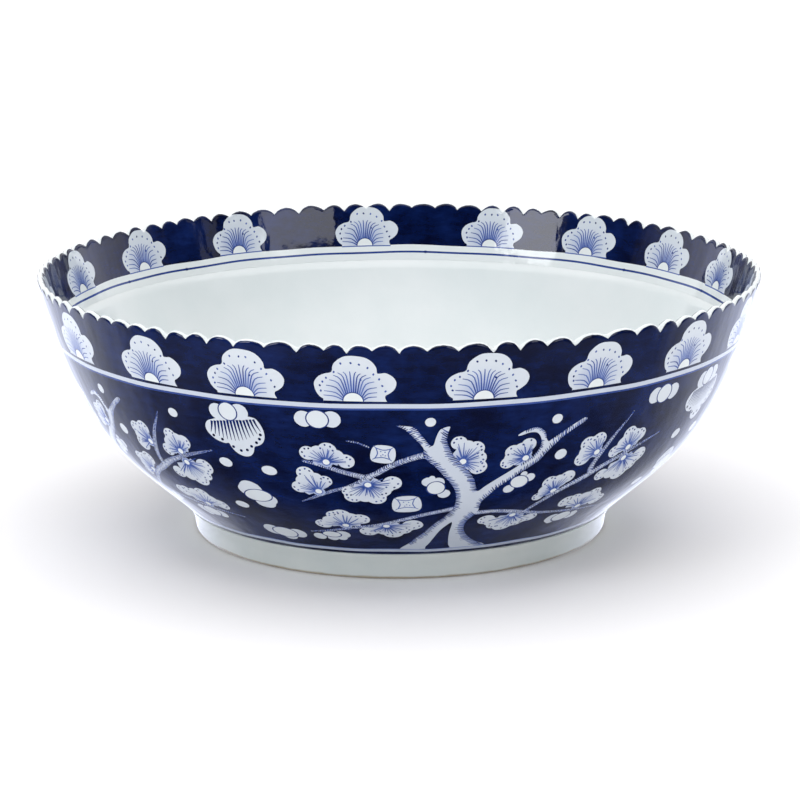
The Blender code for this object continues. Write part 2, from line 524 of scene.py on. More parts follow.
# The pendant flower's body, and the dots along its hem, in mm about its middle.
PENDANT_BODY = [(-9.2, 5.0), (-14.0, 3.0), (-16.0, 0.0), (-16.0, -3.2), (-14.0, -6.4), (-10.8, -8.9),
                (-6.4, -10.2), (-3.9, -9.7), (-3.2, -11.6), (-1.6, -14.6), (0.9, -16.7), (4.1, -17.6),
                (7.4, -16.6), (9.8, -13.8), (11.2, -10.2), (13.8, -9.2), (16.6, -7.0), (18.4, -3.4),
                (18.6, 1.3), (16.8, 6.3), (13.6, 8.6), (2.0, 9.0)]
PENDANT_DOTS = [(-12.3, -6.0), (-7.4, -7.9), (-1.7, -11.9), (2.4, -13.9), (6.2, -13.0), (9.4, -10.2),
                (12.9, -7.4), (15.2, -4.8), (16.3, -2.0)]
PENDANT_STROKES = 14


def pendant(canvas, turn, theta, s):
    """A fringed flower that hangs from a three-lobed cap, tip down."""
    spot = canvas.local(theta + turn, s)
    canvas.fill([spot(*p) for p in smooth(PENDANT_BODY, closed=True, steps=3)], PETAL_TONE_AND_SHADE)
    for i in range(PENDANT_STROKES):
        share = i / (PENDANT_STROKES - 1)
        top = (-11.2 + 25.4 * share, 3.4 + 4.0 * share)
        reach = 5.5 + 7.5 * math.sin(math.pi * (0.08 + 0.84 * share))
        lean = (share - 0.45) * 5.0
        canvas.stroke([spot(*top), spot(top[0] + lean * 0.4, top[1] - reach * 0.5),
                       spot(top[0] + lean, top[1] - reach)], 1.6, 0.3, NAVY * 0.9)
    for x, y in PENDANT_DOTS:
        canvas.disc(*spot(x, y), 0.9, 0.95, ink=NAVY, sides=10)
    bud(canvas, turn, [(theta - 1.9, s + 9.8, 5.0), (theta + 2.1, s + 11.0, 5.0)],
        (theta, s + 10.6, 5.6, 5.7, 0.0))


# The charm's rounded outline, the corners of the square in it and its dots, as shares of its half size.
CHARM_RIM = [(-1, -0.55), (-0.95, 0.5), (-0.55, 0.98), (0.5, 1), (0.96, 0.6), (1, -0.5), (0.55, -1),
             (-0.6, -0.98)]
CHARM_CORNERS = [(-0.62, -0.52), (-0.62, 0.66), (0.58, 0.66), (0.58, -0.52)]
CHARM_DOTS = [(-0.2, 0.3), (0.15, 0.25), (0.0, -0.05), (-0.15, -0.2), (0.2, -0.15)]


def charm(canvas, turn, theta, s, across, up, lean):
    """A rounded square with a smaller hollow-sided square drawn inside it."""
    spot = canvas.local(theta + turn, s)

    def place(x, y):
        return spot(*turned(x * across / 2, y * up / 2, lean))

    canvas.fill([place(*p) for p in smooth(CHARM_RIM, closed=True, steps=3)], PETAL_TONE_AND_SHADE)
    for a, b in zip(CHARM_CORNERS, CHARM_CORNERS[1:] + CHARM_CORNERS[:1]):
        middle = ((a[0] + b[0]) * 0.36, (a[1] + b[1]) * 0.36)
        canvas.stroke([place(*p) for p in smooth([a, middle, b], steps=3)], 0.6, 0.6, VEIN)
        canvas.stroke([place(*a), place(a[0] * 1.35, a[1] * 1.35)], 0.5, 0.4, VEIN)
    for x, y in CHARM_DOTS:
        canvas.disc(*place(x, y), 0.4, ink=VEIN, sides=8)


# ---------------------------------------------------------------- the plum tree

# The trunk with its two horns and its right limb, anticlockwise from the left root.
TRUNK = [(-89.9, 6.0), (-83.8, 6.2), (-78.2, 6.2), (-69.4, 5.8), (-72.2, 11.9), (-74.1, 16.9),
         (-75.6, 22.7), (-76.5, 29.4), (-76.7, 35.2), (-76.2, 40.8), (-75.4, 45.5), (-75.0, 51.0),
         (-75.0, 57.0), (-74.1, 62.0), (-72.8, 68.0), (-71.2, 72.7), (-69.1, 78.5), (-67.6, 82.1),
         (-66.2, 86.0), (-65.4, 90.0), (-64.3, 94.6), (-62.9, 99.8), (-61.2, 104.0), (-59.2, 108.4),
         (-59.6, 110.3), (-61.6, 106.6), (-63.2, 103.1), (-64.7, 99.6), (-65.4, 98.0), (-65.9, 100.2),
         (-66.2, 103.5), (-67.0, 106.4), (-68.2, 108.0), (-69.8, 106.7), (-71.0, 104.2), (-70.6, 103.6),
         (-69.2, 105.0), (-68.0, 104.8), (-67.3, 102.9), (-66.8, 99.8), (-66.7, 96.0), (-67.0, 92.2),
         (-67.9, 88.4), (-69.6, 84.2), (-71.4, 79.8), (-73.2, 75.4), (-75.0, 70.6), (-76.2, 66.9),
         (-76.8, 71.0), (-77.3, 76.0), (-78.4, 81.9), (-79.9, 88.0), (-81.3, 93.5), (-82.2, 99.4),
         (-82.6, 104.4), (-82.4, 109.4), (-82.3, 112.2), (-83.7, 110.5), (-84.3, 106.0), (-84.6, 101.6),
         (-84.9, 100.3), (-85.4, 101.4), (-86.2, 105.2), (-87.1, 109.4), (-88.0, 112.4), (-90.5, 113.3),
         (-89.3, 111.0), (-88.4, 108.0), (-87.5, 104.4), (-86.7, 101.2), (-86.2, 98.2), (-86.3, 94.0),
         (-85.4, 90.2), (-83.9, 85.2), (-82.6, 79.4), (-81.4, 74.4), (-80.4, 68.5), (-80.0, 62.7),
         (-79.9, 56.0), (-80.4, 50.0), (-81.1, 46.0), (-82.6, 39.4), (-83.9, 32.7), (-85.1, 26.0),
         (-86.7, 19.4), (-88.2, 12.7)]
TRUNK_SHADING = [(3, 10, 4.2, WASH * 1.3), (11, 23, 2.8, 0.0), (25, 27, 1.5, 0.0), (29, 33, 1.4, 0.0),
                 (39, 43, 1.6, 0.0), (47, 55, 3.6, WASH * 1.2), (60, 64, 2.0, 0.0),
                 (65, 69, 2.0, WASH * 0.6), (70, 78, 3.2, WASH * 0.9), (78, 85, 3.4, WASH * 0.8)]
ROOT_GAP = [(-84.0, 5.0), (-83.2, 13.5), (-82.4, 21.0), (-81.7, 27.7), (-80.9, 32.7), (-79.6, 38.2),
            (-79.4, 32.7), (-79.4, 26.0), (-79.1, 17.7), (-78.6, 10.0), (-78.2, 5.0)]

# Thin branches as (theta, s, width in mm).
TWIGS_BEHIND = [
    [(-85.6, 94.6, 4.2), (-87.6, 93.0, 3.6), (-90.0, 89.8, 3.4), (-92.2, 86.0, 3.4), (-94.0, 81.8, 3.4),
     (-95.6, 79.4, 3.6)],
    [(-95.4, 78.6, 4.2), (-97.4, 80.4, 3.4), (-99.6, 82.6, 3.0), (-102.0, 85.4, 2.6), (-104.2, 87.6, 2.2),
     (-106.2, 88.8, 1.4)],
    [(-79.4, 52.6, 4.6), (-82.0, 50.6, 3.4), (-85.4, 47.4, 3.2), (-88.6, 43.4, 3.4), (-91.6, 39.4, 3.2),
     (-94.6, 35.8, 3.0), (-98.6, 32.8, 2.8), (-102.0, 29.8, 2.4), (-105.2, 27.0, 2.0), (-109.8, 24.0, 1.2)],
    [(-94.9, 99.6, 1.0), (-96.6, 102.2, 1.2), (-98.5, 103.6, 0.8)],
]
TWIGS_FRONT = [
    [(-95.2, 79.4, 3.8), (-96.6, 76.0, 3.0), (-99.2, 71.2, 2.4), (-102.2, 67.4, 2.2), (-105.2, 62.4, 2.0),
     (-108.2, 57.0, 1.0)],
    [(-76.4, 46.6, 4.4), (-73.0, 47.0, 3.6), (-69.6, 46.0, 3.4), (-65.6, 42.8, 3.4), (-61.8, 39.6, 2.8),
     (-58.0, 37.2, 2.4), (-53.4, 35.0, 2.2), (-49.6, 33.0, 1.8), (-46.0, 32.0, 1.4), (-42.2, 30.2, 0.9)],
    [(-64.6, 43.0, 2.6), (-63.5, 47.6, 2.6), (-61.8, 53.0, 3.0), (-60.0, 58.2, 3.4), (-57.8, 62.8, 3.8),
     (-55.6, 66.6, 4.2), (-53.6, 70.6, 4.2), (-51.4, 74.6, 3.6), (-49.0, 78.0, 3.0), (-46.4, 81.6, 2.4),
     (-43.4, 85.0, 1.8), (-39.8, 88.8, 0.8)],
    [(-54.4, 70.0, 3.6), (-54.6, 76.0, 3.4), (-53.8, 83.6, 3.0), (-52.8, 90.6, 2.6), (-51.6, 97.4, 2.0),
     (-50.2, 104.0, 1.2), (-49.4, 108.6, 0.6)],
]

# Blossoms as heart, petals and the disc that joins them (theta, s, radius in mm), and the two
# angles that the veins fan out between.
BLOSSOMS_BEHIND = [
    ((-79.7, 89.2), [(-80.6, 101.6, 4.3), (-77.8, 97.4, 4.7), (-77.3, 91.0, 4.8), (-77.0, 84.8, 4.8)],
     (-78.9, 92.0, 8.6), (-78, 150)),
    ((-68.9, 88.4), [(-68.9, 97.2, 4.3), (-71.4, 93.5, 4.4), (-72.0, 86.2, 3.9)],
     (-70.0, 90.4, 6.6), (60, 236)),
    ((-60.8, 59.8), [(-59.2, 70.0, 4.8), (-62.4, 67.6, 4.8), (-63.7, 56.4, 3.3)],
     (-61.2, 62.9, 7.0), (60, 215)),
    ((-54.8, 85.2), [(-55.3, 93.8, 4.8), (-57.4, 92.4, 4.6), (-57.5, 82.4, 5.0)],
     (-56.2, 88.4, 6.8), (75, 215)),
    ((-47.4, 83.7), [(-50.5, 82.9, 4.1), (-48.4, 93.8, 4.5), (-45.7, 91.0, 4.5)],
     (-47.8, 87.7, 7.9), (25, 190)),
    ((-47.2, 76.0), [(-43.2, 75.3, 5.4), (-44.1, 68.7, 4.4), (-46.0, 64.5, 5.7), (-51.0, 66.2, 4.3)],
     (-47.2, 71.9, 8.7), (-145, 20)),
    ((-67.0, 40.2), [(-72.4, 37.8, 4.8), (-69.8, 31.2, 4.9), (-67.8, 29.0, 5.7), (-65.0, 31.2, 4.3),
                     (-62.3, 34.8, 4.3)], (-67.2, 36.9, 7.9), (-165, -15)),
    ((-50.6, 37.3), [(-55.4, 46.0, 5.2), (-53.8, 46.9, 5.0), (-49.1, 48.5, 5.2), (-46.0, 40.3, 5.0)],
     (-50.9, 41.0, 8.7), (15, 155)),
]
BLOSSOMS_FRONT = [
    ((-102.1, 88.9), [(-105.0, 94.3, 4.5), (-101.7, 96.8, 5.0), (-98.8, 89.9, 4.6)],
     (-102.2, 90.2, 6.8), (0, 185)),
    ((-104.4, 66.9), [(-107.7, 69.4, 4.4), (-106.1, 80.0, 4.9), (-102.9, 75.2, 3.9)],
     (-105.0, 70.4, 7.9), (55, 190)),
    ((-95.5, 73.6), [(-91.3, 75.2, 5.0), (-93.0, 69.5, 4.6), (-94.2, 63.5, 5.3), (-98.3, 64.1, 4.8),
                     (-98.8, 68.0, 4.2)], (-95.3, 71.0, 8.3), (-165, 40)),
    ((-101.2, 34.4), [(-105.8, 34.9, 4.6), (-102.8, 45.2, 4.5), (-101.4, 45.9, 5.5), (-97.8, 42.3, 5.1)],
     (-101.2, 36.9, 8.3), (20, 175)),
    ((-92.8, 34.9), [(-87.5, 36.0, 5.6), (-89.4, 30.2, 4.6), (-91.5, 26.4, 5.4), (-94.7, 30.2, 4.2),
                     (-96.7, 28.1, 4.8)], (-92.5, 33.3, 7.6), (-160, 20)),
]

# Buds as side lobes (theta, s, radius) and a middle oval (theta, s, across, up, turn).
BUDS = [
    ([(-104.9, 116.0, 4.9), (-100.5, 116.4, 5.0)], (-102.7, 116.1, 6.1, 5.7, 0)),
    ([(-117.9, 62.8, 7.0), (-116.2, 53.2, 6.2), (-115.0, 55.6, 4.6), (-118.9, 62.0, 5.0)],
     (-117.0, 58.0, 8.8, 5.4, 10)),
    ([(-119.9, 19.9, 5.6), (-113.6, 19.2, 5.0), (-116.4, 14.9, 4.4)], (-117.0, 18.6, 7.6, 6.0, 0)),
    ([(-102.7, 22.6, 4.2), (-108.3, 18.7, 3.6), (-105.3, 17.8, 3.0), (-103.1, 18.5, 2.8)],
     (-105.2, 22.2, 5.4, 3.6, 0)),
    ([(-85.3, 75.7, 3.2), (-83.5, 75.2, 3.4), (-82.3, 66.2, 3.4), (-84.6, 78.4, 1.7)],
     (-83.8, 70.9, 5.0, 5.1, 14)),
    ([(-67.1, 73.9, 3.0), (-70.5, 66.5, 3.1), (-68.4, 77.0, 1.9)], (-68.9, 71.4, 5.4, 4.7, -25)),
    ([(-55.2, 27.6, 4.6), (-49.7, 26.9, 4.1), (-54.8, 24.2, 2.8)], (-52.6, 27.6, 6.4, 5.2, 0)),
]
# Charms as (theta, s, across, up, lean), the pendant flower's place, and round dots.
CHARMS = [(-92.7, 95.2, 12.6, 11.4, -6.0), (-88.8, 57.7, 15.0, 14.0, 4.0)]
PENDANT = (-117.6, 105.6)
DOTS = [(-85.3, 115.2, 2.8, 2.7), (-64.7, 111.9, 3.0, 2.9), (-62.4, 88.0, 3.5, 3.4),
        (-120.8, 81.9, 4.0, 3.2), (-112.6, 79.8, 4.4, 3.3), (-122.4, 46.2, 4.2, 3.3)]
# These fill the gaps between one tree and the next.
GAP_BUD = ([(-45.2, 115.2, 4.9), (-40.8, 115.2, 4.9)], (-43.0, 115.2, 5.9, 5.9, 0))
GAP_DOT = (-128.8, 109.8, 3.2, 2.8)


def grove(canvas, turn):
    """One plum tree with its blossoms, and the buds and charms that fill the ground round it."""
    for path in TWIGS_BEHIND:
        twig(canvas, path, turn)
    for heart, petals, web, fan in BLOSSOMS_BEHIND:
        blossom(canvas, turn, heart, petals, web, fan)
    for lobes, middle in BUDS:
        bud(canvas, turn, lobes, middle)
    for path in TWIGS_FRONT:
        twig(canvas, path, turn)
    limb(canvas, TRUNK, turn, TRUNK_SHADING)
    canvas.fill(smooth(moved(ROOT_GAP, turn), closed=True, steps=2), NAVY)
    for heart, petals, web, fan in BLOSSOMS_FRONT:
        blossom(canvas, turn, heart, petals, web, fan)
    for square in CHARMS:
        charm(canvas, turn, *square)
    pendant(canvas, turn, *PENDANT)
    for theta, s, across, up in DOTS:
        canvas.disc(theta + turn, s, across, up, ink=HAZE * 0.4, rough=0.02)


# How far each tree is turned from the front one, and the angles of the half blossoms in view.
TREE_TURNS = (-83.0, 0.0, 88.0, 182.0)
OUTER_BLOSSOMS = (-152.0, -131.5, -114.0, -97.0, -77.5, -59.0, -40.0, -20.0)
INNER_BLOSSOMS = (16.5, 34.5, 53.5, 73.0, 96.5, 121.0, 143.0, 163.5)


def all_round(seen, total):
    """The seen angles, and the rest of the total spaced evenly over what is left of the circle."""
    rest = total - len(seen) + 1
    gap = (seen[0] + 360.0 - seen[-1]) / rest
    return list(seen) + [seen[-1] + gap * (i + 1) + jitter(0.8) for i in range(rest - 1)]


# ---------------------------------------------------------------- painted bands

GRID = 3.6          # mm between the plain points that keep a band's faces small and round
STRETCH = 3.0       # mm for each degree, while a band is laid out flat
BACK = 90.0         # every band is cut at the back, and divided at two more seams
SEAMS = (BACK + 120.0, BACK + 240.0)
SECTORS = ("left", "front", "right")
SEAM_STEPS = 60


def wavy(theta, middle, swell, turn, ripple):
    """A line drawn by hand round the bowl: one slow swell and some small ripples."""
    return (middle + swell * math.sin(math.radians(theta + turn))
            + ripple * math.sin(math.radians(theta * 17 + 40)) * math.sin(math.radians(theta * 5)))


def ring_outline(lower, upper):
    """A band's whole outline, from the back seam round to the same seam again."""
    bottom, top = ([place for place in line if BACK < place[0] < BACK + 360.0] for line in (lower, upper))
    low, high = height_at(bottom, BACK), height_at(top, BACK)
    side = [low + (high - low) * k / SEAM_STEPS for k in range(SEAM_STEPS + 1)]
    right = [(BACK + 360.0, s) for s in side]
    left = [(BACK, s) for s in reversed(side)]
    return bottom + right + top[::-1] + left


def height_at(line, theta):
    """The s of a line of (theta, s) points round the bowl, at one angle."""
    return float(np.interp(theta, [p[0] for p in line], [p[1] for p in line], period=360.0))


def wrapped(canvas):
    """The canvas's strokes as (outline, ink, clip, turn), each turned so that it falls within the band,
    and given once more where it crosses the back seam. Clips are numbered to match."""
    strokes = []
    numbers = {}
    for number, (outline, ink, clip) in enumerate(zip(canvas.outlines, canvas.inks, canvas.clips)):
        middle = sum(p[0] for p in outline) / len(outline)
        home = -360.0 * math.floor((middle - BACK) / 360.0)
        numbers[number] = {}
        for turn in (home - 360.0, home, home + 360.0):
            low = min(p[0] for p in outline) + turn
            high = max(p[0] for p in outline) + turn
            if high > BACK and low < BACK + 360.0:
                numbers[number][turn] = len(strokes) + 1
                inside = None if clip is None else numbers[clip].get(turn, -1)
                strokes.append((moved(outline, turn), ink, inside, turn))
    return strokes


def build_band(name, canvas, lower, upper, extra=()):
    """The band's meshes, one for each sector between two seams, with the topmost stroke's ink on
    every face corner. Extra lists plain points that keep its faces close to a tight curve."""
    strokes = [(ring_outline(lower, upper), NAVY, None, 0.0), *wrapped(canvas)]
    points, faces = [], []
    for outline, _, _, _ in strokes:
        first = len(points)
        points += [Vector((theta * STRETCH, s)) for theta, s in outline]
        order = list(range(first, len(points)))
        faces.append(order if signed_area(outline) > 0 else order[::-1])
    edges = seam_edges(points, lower, upper)
    points += grid_points(lower, upper)
    points += [Vector((theta * STRETCH, s)) for theta, s in extra]
    spots, _, triangles, _, _, owners = delaunay_2d_cdt(points, edges, faces, 0, 1e-4)
    kept, tones = choose_faces(spots, triangles, owners, strokes)
    place_sectors(name, canvas.wall, spots, kept, tones)


def seam_edges(points, lower, upper):
    """Lines up the band where it is divided into sectors."""
    low = min(s for _, s in lower) - 1.0
    high = max(s for _, s in upper) + 1.0
    edges = []
    for seam in SEAMS:
        first = len(points)
        for k in range(SEAM_STEPS + 1):
            points.append(Vector((seam * STRETCH, low + (high - low) * k / SEAM_STEPS)))
        edges += [(first + k, first + k + 1) for k in range(SEAM_STEPS)]
    return edges


def grid_points(lower, upper):
    """Staggered rows of plain points over the whole band."""
    low = max(s for _, s in lower) + 0.4 * GRID
    high = min(s for _, s in upper) - 0.4 * GRID
    rows = max(1, round((high - low) / GRID))
    columns = round(360.0 * STRETCH / GRID)
    found = []
    for row in range(rows + 1):
        s = low + (high - low) * row / rows
        for column in range(columns):
            theta = BACK + 360.0 * (column + 0.25 + 0.5 * (row % 2)) / columns
            found.append(Vector((theta * STRETCH, s)))
    return found


def choose_faces(spots, triangles, owners, strokes):
    """The triangles inside the band, each with the ink of its topmost stroke at its corners."""
    kept, tones = [], []
    for triangle, owner in zip(triangles, owners):
        if 0 not in owner:
            continue
        held = set(owner)
        top = max(n for n in held if strokes[n][2] is None or strokes[n][2] in held)
        _, ink, _, turn = strokes[top]
        kept.append(triangle)
        for corner in triangle:
            theta, s = spots[corner][0] / STRETCH, spots[corner][1]
            tones.append(ink(theta - turn, s) if callable(ink) else ink)
    return np.array(kept), np.array(tones).reshape(-1, 3)


def place_sectors(name, wall, spots, triangles, tones):
    """A mesh on the bowl for each sector of the band, with its ink."""
    flat = np.array([(spot[0] / STRETCH, spot[1]) for spot in spots])
    middles = flat[triangles, 0].mean(axis=1)
    bounds = (BACK, *SEAMS, BACK + 360.0)
    for label, low, high in zip(SECTORS, bounds, bounds[1:]):
        chosen = (middles > low) & (middles < high)
        used, renumbered = np.unique(triangles[chosen], return_inverse=True)
        places = surface(wall, flat[used, 0], flat[used, 1])
        normals = surface_normals(wall, flat[used, 0], flat[used, 1])
        corners, inks = renumbered.reshape(-1, 3), tones[chosen]
        if not wall.outward:
            corners, inks = corners[:, ::-1], inks[:, ::-1]
        piece = add_mesh(f"{name}_{label}", places, corners, normals)
        attribute = piece.data.attributes.new("ink", "FLOAT", "CORNER")
        attribute.data.foreach_set("value", inks.astype(np.float32).ravel())
        finish_piece(piece, PAINTED)


def add_mesh(name, places, faces, normals=None):
    """A mesh object from points in mm, smooth, with its true surface normals where they are given."""
    data = bpy.data.meshes.new(name)
    data.from_pydata((np.asarray(places) * MM).tolist(), [], [list(map(int, f)) for f in faces])
    data.update()
    data.shade_smooth()
    if normals is not None:
        data.normals_split_custom_set_from_vertices(np.asarray(normals).tolist())
    piece = bpy.data.objects.new(name, data)
    bpy.context.scene.collection.objects.link(piece)
    return piece


def finish_piece(piece, look):
    """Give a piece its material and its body."""
    piece.data.materials.append(look)
    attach(piece, "root")
    return piece


# ---------------------------------------------------------------- the three bands

TREE_TOP = 124.4     # middle of the white line between the two outer bands
INNER_LINE = 150.4   # the thin blue line round the inside
INNER_EDGE = 154.9   # where the inner band's navy begins
INNER_FOOT = 146.0   # where the inner band's mesh meets the bare clay
# Where the brush rested on the thin blue line.
INNER_BLOTS = (21.0, 44.0, 85.0, 133.0, 148.0, 205.0, 262.0, 318.0)
RING_TONE = HAZE * 0.75   # the white line's own faint blue
ARCS = 24            # strokes in a line that goes all round
ARC_SPAN = 15.2      # degrees that each covers, with a little overlap


def outer_line(theta):
    """The middle of the white line that parts the rim band from the trees."""
    return wavy(theta, TREE_TOP, 0.9, 105.0, 0.25)


def line_points(function):
    """A band's edge as (theta, s) points once round."""
    angles = [BACK + 1.5 * i for i in range(241)]
    return [(theta, function(theta)) for theta in angles]


def lip_reach(theta, over):
    """How far paint runs over the lip in mm: over[0] at the front, and over[1] at the sides and back."""
    front = np.maximum(0.0, np.cos(np.radians(theta + 90.0))) ** 2
    return over[1] + (over[0] - over[1]) * front


def rim_angles():
    """The scalloped rim's own angles, within the full turn that starts at the back."""
    return np.where(RIM_THETA > BACK, RIM_THETA, RIM_THETA + 360.0)


def lip_edge(wall, over, cut_back):
    """The painted band's upper edge: it runs on over the lip's lobes, and is cut back by so many
    mm in the notches between them, where the glaze ran clear."""
    theta = rim_angles()
    notch = np.clip((RIM_DROP - 1.2) / 1.8, 0.0, 1.0) ** 1.4
    uneven = np.array([jitter(0.12) for _ in RIM_THETA])
    s = rim_s(wall, theta) + lip_reach(theta, over) - cut_back * notch + uneven
    return sorted(zip(theta.tolist(), s.tolist()))


def lip_rows(wall, over):
    """Plain points that keep a band's faces close to the lip's rounding."""
    theta = rim_angles()
    rows = []
    for step in (-4.0, -2.2, -0.9, 0.0, 0.45, 0.9, 1.35, 1.8):
        kept = theta[step < lip_reach(theta, over) - 0.15]
        rows += zip(kept.tolist(), (rim_s(wall, kept) + step).tolist())
    return rows


def arc_steps(arc, count):
    """Angles along one of the overlapping arcs that go round the bowl."""
    start = BACK + 360.0 * arc / ARCS
    return [start + ARC_SPAN * k / count for k in range(count + 1)]


def add_ring_stroke(canvas, middle, width, ink):
    """A line all round the bowl, in arcs so that each stroke stays a simple shape."""
    for arc in range(ARCS):
        canvas.stroke([(theta, middle(theta)) for theta in arc_steps(arc, 10)], width, width, ink)


def tree_band():
    canvas = Canvas(OUTER)
    add_ring_stroke(canvas, lambda t: outer_line(t) - 1.5, 1.3, 0.72)
    for turn in TREE_TURNS:
        grove(canvas, turn)
    canvas.disc(*GAP_DOT, ink=HAZE * 0.4, rough=0.02)
    for turn in TREE_TURNS[1:]:
        bud(canvas, turn, *GAP_BUD)
    add_ring_stroke(canvas, lambda t: outer_line(t) - 0.1, 1.8, RING_TONE)
    # The pale strip over the foot, and the dark line under it.
    add_ring_stroke(canvas, lambda t: wavy(t, 5.2, 0.3, 0.0, 0.6), 2.6, PALE)
    add_ring_stroke(canvas, lambda t: wavy(t, 4.3, 0.3, 30.0, 0.4), 2.8, HAZE)
    add_ring_stroke(canvas, lambda t: wavy(t, 1.7, 0.2, 0.0, 0.4), 2.9, NAVY)
    build_band("tree_band", canvas, line_points(lambda t: 0.15), line_points(outer_line))


def outer_rim_band():
    canvas = Canvas(OUTER)
    add_ring_stroke(canvas, lambda t: outer_line(t) + 0.6, 2.0, RING_TONE)
    for theta in all_round(OUTER_BLOSSOMS, 19):
        half_blossom(canvas, theta, outer_line(theta) + 3.2, 26.5 + jitter(0.7), 1, False)
    over = (1.45, 0.7)
    build_band("rim_band_outside", canvas, line_points(outer_line), lip_edge(OUTER, over, 1.6),
               lip_rows(OUTER, over))


def inner_line(theta):
    return wavy(theta, INNER_LINE, 0.5, -10.0, 0.3)


def inner_edge(theta):
    return wavy(theta, INNER_EDGE, 0.4, 10.0, 0.5)


def inner_rim_band():
    canvas = Canvas(INNER)
    below = [(BACK + k, INNER_FOOT) for k in range(0, 361, 3)]
    for arc in range(ARCS):
        steps = arc_steps(arc, 12)
        low = [(theta, INNER_FOOT - 2.0) for theta in steps]
        canvas.fill(low + [(theta, inner_edge(theta)) for theta in reversed(steps)], BARE)
    for theta in all_round(INNER_BLOSSOMS, 17):
        half_blossom(canvas, theta, inner_edge(theta) + 0.3, 24.6 + jitter(0.4), -1, True)
    add_ring_stroke(canvas, inner_line, 1.25, LINE * 0.92)
    for theta in INNER_BLOTS:
        canvas.disc(theta, inner_line(theta), 1.1, 0.9, ink=LINE)
    over = (1.0, 1.8)
    build_band("rim_band_inside", canvas, below, lip_edge(INNER, over, 0.9), lip_rows(INNER, over))


# ---------------------------------------------------------------- the clay

SKIN = 0.15          # mm that the clay lies under the painted bands
UNDERSIDE_RADII = (30.0, 60.0, 90.0, 108.0, 116.0)
FLOOR_RADII = (70.0, 50.0, 30.0, 12.0)


def lathe_rings(profile, columns):
    """Rings of points round the axis from (radius, height) pairs."""
    angles = np.radians(columns)
    cos, sin, one = np.cos(angles), np.sin(angles), np.ones(angles.shape)
    return [np.column_stack([radius * cos, radius * sin, height * one]) for radius, height in profile]


def join(rings, first_pole=None, last_pole=None, closed=False):
    """Faces between rings of equal count, with optional single points at the two ends."""
    count = len(rings[0])
    points = np.concatenate(rings)
    faces = []
    pairs = list(zip(range(len(rings) - 1), range(1, len(rings))))
    if closed:
        pairs.append((len(rings) - 1, 0))
    for low, high in pairs:
        for i in range(count):
            j = (i + 1) % count
            faces.append((low * count + i, low * count + j, high * count + j, high * count + i))
    for pole, ring, forward in ((first_pole, 0, False), (last_pole, len(rings) - 1, True)):
        if pole is None:
            continue
        points = np.vstack([points, pole])
        tip = len(points) - 1
        for i in range(count):
            a, b = ring * count + i, ring * count + (i + 1) % count
            faces.append((a, b, tip) if forward else (b, a, tip))
    return points, faces


def clay_body():
    """The bowl's white clay: underside, outside wall under its painting, lip, inside and floor."""
    thetas = RIM_THETA
    rings = lathe_rings([(radius, FOOT_HEIGHT) for radius in UNDERSIDE_RADII], thetas)

    def wall_ring(wall, s, sunk):
        rings.append(wall.place(thetas, np.broadcast_to(s, thetas.shape), sunk))

    wall_ring(OUTER, 0.0, 0.0)
    wall_ring(OUTER, 0.15, 0.0)
    lip_outer, lip_inner = rim_s(OUTER, thetas), rim_s(INNER, thetas)
    for share in np.linspace(0.0, 1.0, 26):
        wall_ring(OUTER, 0.2 + share * (lip_outer - 0.3), SKIN)
    for turn in range(0, 181, 15):
        # The lip stands proud where it is bare, between the two painted edges.
        covered = min(1.0, max(0.0, (abs(turn - 84.0) - 20.0) / 15.0))
        rings.append(lip_point(thetas, float(turn), SKIN * covered))
    for share in np.linspace(0.0, 1.0, 10):
        wall_ring(INNER, lip_inner - 0.1 + share * (INNER_FOOT + 0.2 - lip_inner), SKIN)
    for s in np.linspace(INNER_FOOT, 0.0, 27):
        wall_ring(INNER, s, 0.0)
    rings += lathe_rings([(radius, FLOOR_HEIGHT) for radius in FLOOR_RADII], thetas)
    points, faces = join(rings, (0.0, 0.0, FOOT_HEIGHT), (0.0, 0.0, FLOOR_HEIGHT))
    piece = add_mesh("bowl_clay", points, faces)
    finish_piece(piece, GLAZED_WHITE)
    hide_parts("bowl_body")


def foot_ring():
    """The foot ring, with a rounded, unglazed standing edge."""
    inner = FOOT_BOTTOM_RADIUS - FOOT_WALL
    edge = FOOT_EDGE_ROUND
    top = FOOT_HEIGHT - CLAY_GAP

    def rounding(middle, first):
        """A quarter circle of the standing edge, about a radius."""
        corners = [polar(edge, first + 15.0 * k) for k in range(7)]
        return [(middle + x, edge + y) for x, y in corners]

    side = smooth([(FOOT_BOTTOM_RADIUS, edge), (FOOT_BOTTOM_RADIUS + 1.3, FOOT_HEIGHT * 0.55),
                   (FOOT_TOP_RADIUS, top)], steps=5)
    inside = [(inner + 4.0, top), (inner + 1.4, top), (inner + 0.9, top * 0.6), (inner + 0.3, top * 0.3)]
    profile = rounding(FOOT_BOTTOM_RADIUS - edge, 270.0) + side[1:] + inside + rounding(inner + edge, 180.0)
    columns = [360.0 * i / 264 for i in range(264)]
    points, faces = join(lathe_rings(profile, columns), closed=True)
    piece = add_mesh("foot_ring_glazed", points, faces)
    finish_piece(piece, FOOT_GLAZE)
    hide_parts("foot_ring")


# ---------------------------------------------------------------- materials

def srgb(red, green, blue):
    """A colour given in 0 to 255 steps, as linear light."""
    def linear(value):
        value /= 255.0
        return value / 12.92 if value <= 0.04045 else ((value + 0.055) / 1.055) ** 2.4
    return (linear(red), linear(green), linear(blue), 1.0)


def grey(value):
    return (value, value, value, 1.0)


PORCELAIN = srgb(226, 232, 232)


